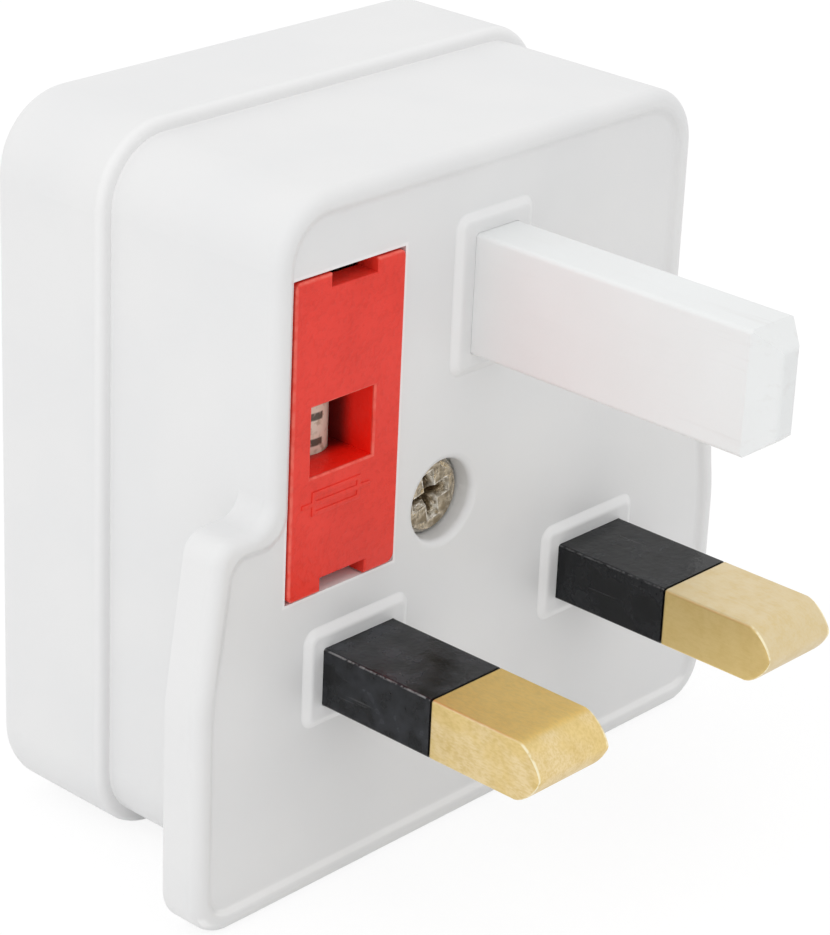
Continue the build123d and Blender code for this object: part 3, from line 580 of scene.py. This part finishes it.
def carrier_plastic(look):
    """Satin red moulding, paler along the edges of its face and its window, with painted light on the walls
    behind the face and painted shade deep behind the window.
    """
    finish = new_finish("carrier_red")
    x, y, z = finish.axes()
    patches = finish.noise(3.5 * MM, 3.0).rise(0.3, 0.7)
    specks = finish.noise(0.35 * MM, 4.0).rise(0.4, 0.75)
    tone = finish.mix(0.5 * patches + 0.5 * specks, look.red, look.red_deep)
    outline = frame_distance(x, z, CARRIER, CARRIER_HALF.x, CARRIER_HALF.z)
    behind_face = y.rise(CARRIER_FACE + 0.1 * MM, CARRIER_FACE + 0.3 * MM)
    hole = CARRIER - Vector((look.window_shift, 0.0, look.window_drop))
    lip = frame_distance(x, z, hole, look.window_width / 2, look.window_height / 2)
    lip = abs(lip - 0.03 * MM).fall(0.04 * MM, 0.14 * MM)
    edge = outline.rise(-0.22 * MM, -0.04 * MM).over(lip) * (1 - behind_face)
    nicks = finish.noise(0.6 * MM, 4.0).rise(0.3, 0.65)
    tone = finish.mix(edge * (0.2 + 0.45 * nicks), tone, look.red_rubbed)
    # Painted light: brighter red on the walls behind the face
    inner = outline.fall(-1.3 * MM, -1.0 * MM)
    tone = finish.mix(inner * behind_face, tone, look.red_lit_wall)
    # Painted shade deep behind the window
    deep = y.rise(CARRIER_FACE + 1.6 * MM, CARRIER_FACE + 3.0 * MM)
    tone = finish.mix(inner * deep, tone, look.red_painted_shade)
    grain = finish.noise(0.25 * MM, 3.0)
    return finish.surface(
        {
            "Base Color": tone,
            "Roughness": 0.42 + 0.12 * (grain - 0.5),
            "Specular IOR Level": 0.36,
            "Normal": finish.bump(0.35 * grain + 0.5 * specks + finish.noise(4 * MM, 2.0), 0.03 * MM),
        }
    )


def fuse_glaze(look):
    """Speckled ceramic with plain printed bars on the side that faces out."""
    finish = new_finish("fuse_ceramic")
    x, y, z = finish.axes()
    tone = finish.mix(finish.noise(0.5 * MM, 4.0).rise(0.5, 0.7), look.ceramic, look.speckle)
    step = abs((z - FUSE.z + look.bar_step / 2) % look.bar_step - look.bar_step / 2)
    bars = step.fall(look.bar_width / 2 - 0.06 * MM, look.bar_width / 2 + 0.06 * MM)
    bars = bars * abs(z - FUSE.z).fall(look.print_length / 2, look.print_length / 2 + 0.1 * MM)
    bars = bars * y.fall(FUSE.y - 0.7 * MM, FUSE.y - 0.6 * MM)
    across = abs(x - FUSE.x + look.bar_shift)
    bars = bars * across.fall(look.bar_length / 2, look.bar_length / 2 + 0.1 * MM)
    ink = finish.noise(0.3 * MM, 3.0).rise(0.25, 0.5)
    return finish.surface(
        {
            "Base Color": finish.mix(bars * (0.6 + 0.4 * ink), tone, look.bar),
            "Roughness": 0.28 + 0.15 * bars,
            "Normal": finish.bump(finish.noise(0.8 * MM, 3.0), 0.02 * MM),
        }
    )


def plated_metal(name, tone, roughness):
    """Plated metal with faint clouds."""
    finish = new_finish(name)
    clouds = finish.noise(1.2 * MM, 4.0).rise(0.3, 0.7)
    dull = tuple(0.72 * part for part in tone)
    return finish.surface(
        {
            "Base Color": finish.mix(0.6 * clouds, tone, dull),
            "Metallic": 1.0,
            "Roughness": roughness + 0.15 * clouds,
            "Normal": finish.bump(finish.noise(0.4 * MM, 3.0), 0.008 * MM),
        }
    )


def strip_brass(look):
    """Rolled brass strip with dull patches."""
    finish = new_finish("contact_brass")
    patches = finish.noise(1.8 * MM, 4.0).rise(0.4, 0.7)
    lines = finish.noise(0.12 * MM, 2.0, (1.0, 1.0, 40.0))
    return finish.surface(
        {
            "Base Color": finish.mix(0.7 * patches + 0.2 * lines, look.strip, look.strip_dull),
            "Metallic": 1.0,
            "Roughness": 0.28 + 0.2 * patches,
            "Normal": finish.bump(lines, 0.006 * MM),
        }
    )


def inner_plastic(look):
    """Plain moulded plastic of the tray and the shutter."""
    finish = new_finish("inner_plastic")
    clouds = finish.noise(4 * MM, 3.0).rise(0.3, 0.7)
    grain = finish.noise(0.3 * MM, 3.0)
    return finish.surface(
        {
            "Base Color": finish.mix(clouds, look.tray, look.tray_dull),
            "Roughness": 0.46 + 0.12 * (grain - 0.5),
            "Normal": finish.bump(0.4 * grain + clouds, 0.02 * MM),
        }
    )


def dress(material, *names):
    """Gives CAD nodes this material."""
    for name in names:
        frame["nodes"][name].material_slots[0].material = material


def merged_copy(context, name, suffix, material, keep_normals=False):
    """Copy of a CAD node that stands for it, with its loose triangles joined."""
    piece = bpy.data.objects.new(f"{name}_{suffix}", frame["nodes"][name].data.copy())
    context.collection.objects.link(piece)
    bpy.ops.object.select_all(action="DESELECT")
    piece.select_set(True)
    context.view_layer.objects.active = piece
    if not keep_normals:
        bpy.ops.mesh.customdata_custom_splitnormals_clear()
    bpy.ops.object.mode_set(mode="EDIT")
    bpy.ops.mesh.select_all(action="SELECT")
    bpy.ops.mesh.remove_doubles(threshold=JOIN_DISTANCE, use_sharp_edge_from_normals=keep_normals)
    bpy.ops.object.mode_set(mode="OBJECT")
    piece.data.materials.clear()
    piece.data.materials.append(material)
    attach(piece, "housing")
    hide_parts(name)
    return piece


def select_faces(piece, keep):
    """Selects the faces whose middle passes the test, in edit mode."""
    mesh = bmesh.from_edit_mesh(piece.data)
    bpy.ops.mesh.select_mode(type="FACE")
    bpy.ops.mesh.select_all(action="DESELECT")
    for face in mesh.faces:
        face.select_set(keep(face.calc_center_median()))
    bmesh.update_edit_mesh(piece.data)


def apply_modifier(piece, name, kind, **settings):
    """Adds a modifier to the active piece and applies it."""
    modifier = piece.modifiers.new(name, kind)
    for key, setting in settings.items():
        setattr(modifier, key, setting)
    bpy.ops.object.modifier_apply(modifier=name)


class ADAPTER_OT_housing(bpy.types.Operator):
    """Finish the two housing halves and tighten the flange's lower corners"""

    bl_idname = "adapter.housing"
    bl_label = "Housing"

    def execute(self, context):
        look = context.scene.adapter_housing
        plastic = shell_plastic(look)
        dress(plastic, "socket_housing")
        self.tighten_corners(context, look, plastic)
        return {"FINISHED"}

    def tighten_corners(self, context, look, plastic):
        """Copy of the plug half, with the flange's lower corners moved out to a tighter round."""
        housing = merged_copy(context, "plug_housing", "cornered", plastic, keep_normals=True)
        low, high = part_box("plug_housing")
        middle_x = high.x - look.flange_round
        middle_z = low.z + look.flange_round
        reach = look.flange_round - look.corner_round
        arc_end = 0.05 * MM  # leaves out what lies at the ends of the round
        normals = [tuple(corner.vector) for corner in housing.data.corner_normals]
        for vertex in housing.data.vertices:
            out = abs(vertex.co.x) - middle_x
            down = middle_z - vertex.co.z
            if min(out, down) > arc_end:
                turn = math.atan2(down, out)
                vertex.co.x += math.copysign(reach * (1 - math.cos(turn)), vertex.co.x)
                vertex.co.z -= reach * (1 - math.sin(turn))
        housing.data.normals_split_custom_set(normals)


class ADAPTER_OT_earth_pin(bpy.types.Operator):
    """Finish the plastic earth pin"""

    bl_idname = "adapter.earth_pin"
    bl_label = "Earth pin"

    def execute(self, context):
        dress(earth_plastic(context.scene.adapter_housing), "earth_pin")
        return {"FINISHED"}


class ADAPTER_OT_line_pins(bpy.types.Operator):
    """Round the brass pins' noses and finish the pins and their sleeves"""

    bl_idname = "adapter.line_pins"
    bl_label = "Brass pins"

    def execute(self, context):
        look = context.scene.adapter_pins
        brass = pin_brass(look)
        for name in ("live_pin", "neutral_pin"):
            pin = merged_copy(context, name, "rounded", brass)
            self.round_nose(look, SLEEVE.x if name == "neutral_pin" else -SLEEVE.x)
        dress(sleeve_plastic(look), "live_pin_sleeve", "neutral_pin_sleeve")
        return {"FINISHED"}

    def round_nose(self, look, pin_x):
        """Cuts off the active pin's nose and draws it out again, ring by ring, in one full curve."""
        cut = PIN_TIP + 2.6 * MM  # behind the CAD nose
        bpy.ops.object.mode_set(mode="EDIT")
        bpy.ops.mesh.select_all(action="SELECT")
        bpy.ops.mesh.bisect(plane_co=(0, cut, 0), plane_no=(0, -1, 0), clear_outer=True)
        # Rings stand closer together towards the tip, and the last one closes just short of it
        shoulder = PIN_TIP + look.nose_length
        rings = [0.0, *(math.sin(math.radians(turn)) for turn in range(8, 88, 8)), 0.998]
        last_place, last_height = cut, 1.0
        for part in rings:
            place = shoulder - part * look.nose_length
            height = (1 - part**look.nose_fullness) ** (1 / look.nose_fullness)
            middle = (pin_x, place, 0.0)
            step = (0.0, place - last_place, 0.0)
            bpy.ops.mesh.extrude_region_move(TRANSFORM_OT_translate={"value": step})
            bpy.ops.transform.resize(value=(1.0, 1.0, height / last_height), center_override=middle)
            last_place, last_height = place, height
        bpy.ops.mesh.edge_face_add()
        bpy.ops.mesh.select_all(action="SELECT")
        bpy.ops.mesh.normals_make_consistent(inside=False)
        bpy.ops.object.mode_set(mode="OBJECT")
        bpy.ops.object.shade_smooth_by_angle(angle=NOSE_ANGLE)


class ADAPTER_OT_screw(bpy.types.Operator):
    """Finish the screw"""

    bl_idname = "adapter.screw"
    bl_label = "Screw"

    def execute(self, context):
        dress(screw_plate(context.scene.adapter_screw), "housing_screw")
        return {"FINISHED"}


class ADAPTER_OT_carrier(bpy.types.Operator):
    """Finish the fuse carrier and raise a fuse symbol on its face"""

    bl_idname = "adapter.carrier"
    bl_label = "Fuse carrier"

    def execute(self, context):
        look = context.scene.adapter_carrier
        red = carrier_plastic(look)
        dress(red, "fuse_carrier")
        self.raise_symbol(context, look, red)
        return {"FINISHED"}

    def raise_symbol(self, context, look, red):
        """A line through an open box, cut from a plate on the face and given its height."""
        sink, bevel = 0.03 * MM, 0.04 * MM
        middle = Vector((CARRIER.x - look.symbol_shift, CARRIER_FACE + sink, CARRIER.z - look.symbol_drop))
        bpy.ops.object.select_all(action="DESELECT")
        bpy.ops.mesh.primitive_plane_add(size=1.0, location=middle, rotation=(math.pi / 2, 0.0, 0.0))
        symbol = context.object
        symbol.name = "fuse_symbol"
        symbol.scale = (look.line_length, look.box_height, 1.0)
        bpy.ops.object.transform_apply(location=True, rotation=True, scale=True)

        # Cut the plate along the strokes and drop what lies between them
        box_side = look.box_width / 2
        box_top = look.box_height / 2
        cuts = (
            (Vector((1, 0, 0)), (box_side, box_side - look.stroke)),
            (Vector((0, 0, 1)), (look.stroke / 2, box_top - look.stroke)),
        )
        bpy.ops.object.mode_set(mode="EDIT")
        for axis, offsets in cuts:
            for offset in offsets:
                for side in (-1, 1):
                    bpy.ops.mesh.select_all(action="SELECT")
                    bpy.ops.mesh.bisect(plane_co=middle + side * offset * axis, plane_no=axis)

        def between_strokes(spot):
            out = abs(spot.x - middle.x)
            up = abs(spot.z - middle.z)
            on_line = up < look.stroke / 2
            on_box = out < box_side and (out > box_side - look.stroke or up > box_top - look.stroke)
            return not on_line and not on_box

        select_faces(symbol, between_strokes)
        bpy.ops.mesh.delete(type="FACE")
        bpy.ops.object.mode_set(mode="OBJECT")
        apply_modifier(symbol, "rise", "SOLIDIFY", thickness=look.rise + sink, offset=1.0)
        apply_modifier(symbol, "soft edge", "BEVEL", width=bevel, segments=2, limit_method="ANGLE")
        bpy.ops.object.shade_smooth_by_angle(angle=EDGE_ANGLE)
        symbol.data.materials.append(red)
        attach(symbol, "carrier")


class ADAPTER_OT_fuse(bpy.types.Operator):
    """Finish the cartridge fuse"""

    bl_idname = "adapter.fuse"
    bl_label = "Fuse"

    def execute(self, context):
        look = context.scene.adapter_fuse
        dress(fuse_glaze(look), "fuse_body")
        plated = plated_metal("fuse_cap_metal", look.cap, 0.25)
        dress(plated, "fuse_cap_lower", "fuse_cap_upper", "fuse_wire")
        return {"FINISHED"}


class ADAPTER_OT_inner(bpy.types.Operator):
    """Finish the strips, the tray, the shutter and its spring"""

    bl_idname = "adapter.inner"
    bl_label = "Inner pieces"

    def execute(self, context):
        look = context.scene.adapter_inner
        strips = ("fuse_clip_lower", "fuse_clip_upper", "live_contact", "neutral_contact")
        dress(strip_brass(look), *strips)
        dress(inner_plastic(look), "contact_tray", "shutter")
        self.add_spring(context, plated_metal("spring_steel", look.steel, 0.22))
        return {"FINISHED"}

    def add_spring(self, context, steel):
        """Copy of the spring with its triangles joined and smooth shading; the shutter's travel is read,
        but its coils are not closed up.
        """
        spring = merged_copy(context, "shutter_spring", "coils", steel)
        bpy.ops.object.shade_smooth_by_angle(angle=EDGE_ANGLE)
        joints = frame["record"]["behaviour"]["joints"]
        slide = next(joint for joint in joints if joint["name"] == "shutter_slide")
        middle, half = middle_and_half("shutter_spring")
        foot = slide["deforming_nodes"][0]["fixed_end_z_m"]
        keep = 1 - slide["range_m"][1] / (middle.z + half.z - foot)
        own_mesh(spring)


class ADAPTER_OT_stage(bpy.types.Operator):
    """Add the floor, the light and the camera"""

    bl_idname = "adapter.stage"
    bl_label = "Stage"

    def execute(self, context):
        look = context.scene.adapter_stage
        self.add_floor(context, look)
        self.add_light(context, look)
        self.add_camera(context, look)
        context.scene.view_settings.view_transform = "Standard"
        return {"FINISHED"}

    def add_floor(self, context, look):
        """Floor under the flange's front edge and the socket half's front edge, on which the part leans."""
        flange_round, socket_round = 0.8 * MM, 0.6 * MM
        flange = Vector((0, flange_round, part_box("plug_housing")[0].z))
        socket = Vector((0, SEAM + socket_round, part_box("socket_housing")[0].z))
        tilt = math.atan2(socket.z - flange.z, socket.y - flange.y)
        bpy.ops.object.select_all(action="DESELECT")
        bpy.ops.mesh.primitive_plane_add(size=look.floor_size, location=flange, rotation=(tilt, 0.0, 0.0))
        floor = context.object
        floor.name = "floor"
        finish = new_finish("floor_white")
        seen = finish.node("ShaderNodeBsdfDiffuse", {}, {"Color": (*[look.floor_shade] * 3, 1.0)})
        glow = finish.node("ShaderNodeEmission", {}, {"Strength": look.floor_white - look.floor_shade})
        white = finish.node("ShaderNodeAddShader", {}, {0: seen, 1: glow})
        plain = finish.node("ShaderNodeBsdfDiffuse", {}, {"Color": (*look.floor, 1.0)})
        shader = finish.node("ShaderNodeMixShader", {}, {0: finish.light_rays(), 1: plain, 2: white})
        finish.node("ShaderNodeOutputMaterial", {}, {"Surface": shader})
        floor.data.materials.append(finish.owner)

    def add_light(self, context, look):
        """Even white surroundings, a wide light on the left and one above."""
        world = bpy.data.worlds.new("white_room")
        context.scene.world = world
        finish = Finish(world)
        strength = look.ambient + (1 - look.ambient) * finish.light_rays()
        room = finish.node("ShaderNodeBackground", {}, {"Color": (1, 1, 1, 1), "Strength": strength})
        finish.node("ShaderNodeOutputWorld", {}, {"Surface": room})
        aim_point = Vector((0, 5 * MM, 8 * MM))
        lights = (
            ("key_light", look.key_place, look.key_size, look.key_power),
            ("top_light", look.top_place, look.top_size, look.top_power),
        )
        for name, place, size, watts in lights:
            aim = (aim_point - place).to_track_quat("-Z", "Y").to_euler()
            bpy.ops.object.light_add(type="AREA", location=place, rotation=aim)
            lamp = context.object
            lamp.name = name
            lamp.data.size = size
            lamp.data.energy = watts
            lamp.visible_glossy = False

    def add_camera(self, context, look):
        """Camera that looks down at the pin face from the left."""
        turn = (
            Matrix.Rotation(look.azimuth, 3, "Z")
            @ Matrix.Rotation(math.pi / 2 - look.elevation, 3, "X")
            @ Matrix.Rotation(look.roll, 3, "Z")
        )
        bpy.ops.object.camera_add(location=look.camera_place, rotation=turn.to_euler())
        camera = context.object
        camera.data.sensor_width = 36.0
        camera.data.lens = look.lens
        camera.data.clip_start = 0.01
        context.scene.camera = camera


class ADAPTER_PT_panel(bpy.types.Panel):
    """Lists the steps that finish the adapter"""

    bl_idname = "ADAPTER_PT_panel"
    bl_label = "Adapter"
    bl_space_type = "VIEW_3D"
    bl_region_type = "UI"
    bl_category = "Adapter"

    def draw(self, context):
        for step in STEPS:
            self.layout.operator(step.bl_idname)
        for name in SETTINGS:
            box = self.layout.box()
            group = getattr(context.scene, name)
            for key in group.__annotations__:
                box.prop(group, key)


STEPS = (
    ADAPTER_OT_housing,
    ADAPTER_OT_earth_pin,
    ADAPTER_OT_line_pins,
    ADAPTER_OT_screw,
    ADAPTER_OT_carrier,
    ADAPTER_OT_fuse,
    ADAPTER_OT_inner,
    ADAPTER_OT_stage,
)
SETTINGS = {
    "adapter_housing": HousingFinish,
    "adapter_pins": PinFinish,
    "adapter_screw": ScrewFinish,
    "adapter_carrier": CarrierFinish,
    "adapter_fuse": FuseFinish,
    "adapter_inner": InnerFinish,
    "adapter_stage": StageSettings,
}


def register():
    for group in (*SETTINGS.values(), *STEPS, ADAPTER_PT_panel):
        bpy.utils.register_class(group)
    for name, group in SETTINGS.items():
        setattr(bpy.types.Scene, name, PointerProperty(type=group))


def unregister():
    for name in SETTINGS:
        delattr(bpy.types.Scene, name)
    for group in (ADAPTER_PT_panel, *reversed(STEPS), *reversed(SETTINGS.values())):
        bpy.utils.unregister_class(group)


def main():
    register()
    bpy.ops.adapter.housing()
    bpy.ops.adapter.earth_pin()
    bpy.ops.adapter.line_pins()
    bpy.ops.adapter.screw()
    bpy.ops.adapter.carrier()
    bpy.ops.adapter.fuse()
    bpy.ops.adapter.inner()
    bpy.ops.adapter.stage()


if __name__ == "__main__":
    main()
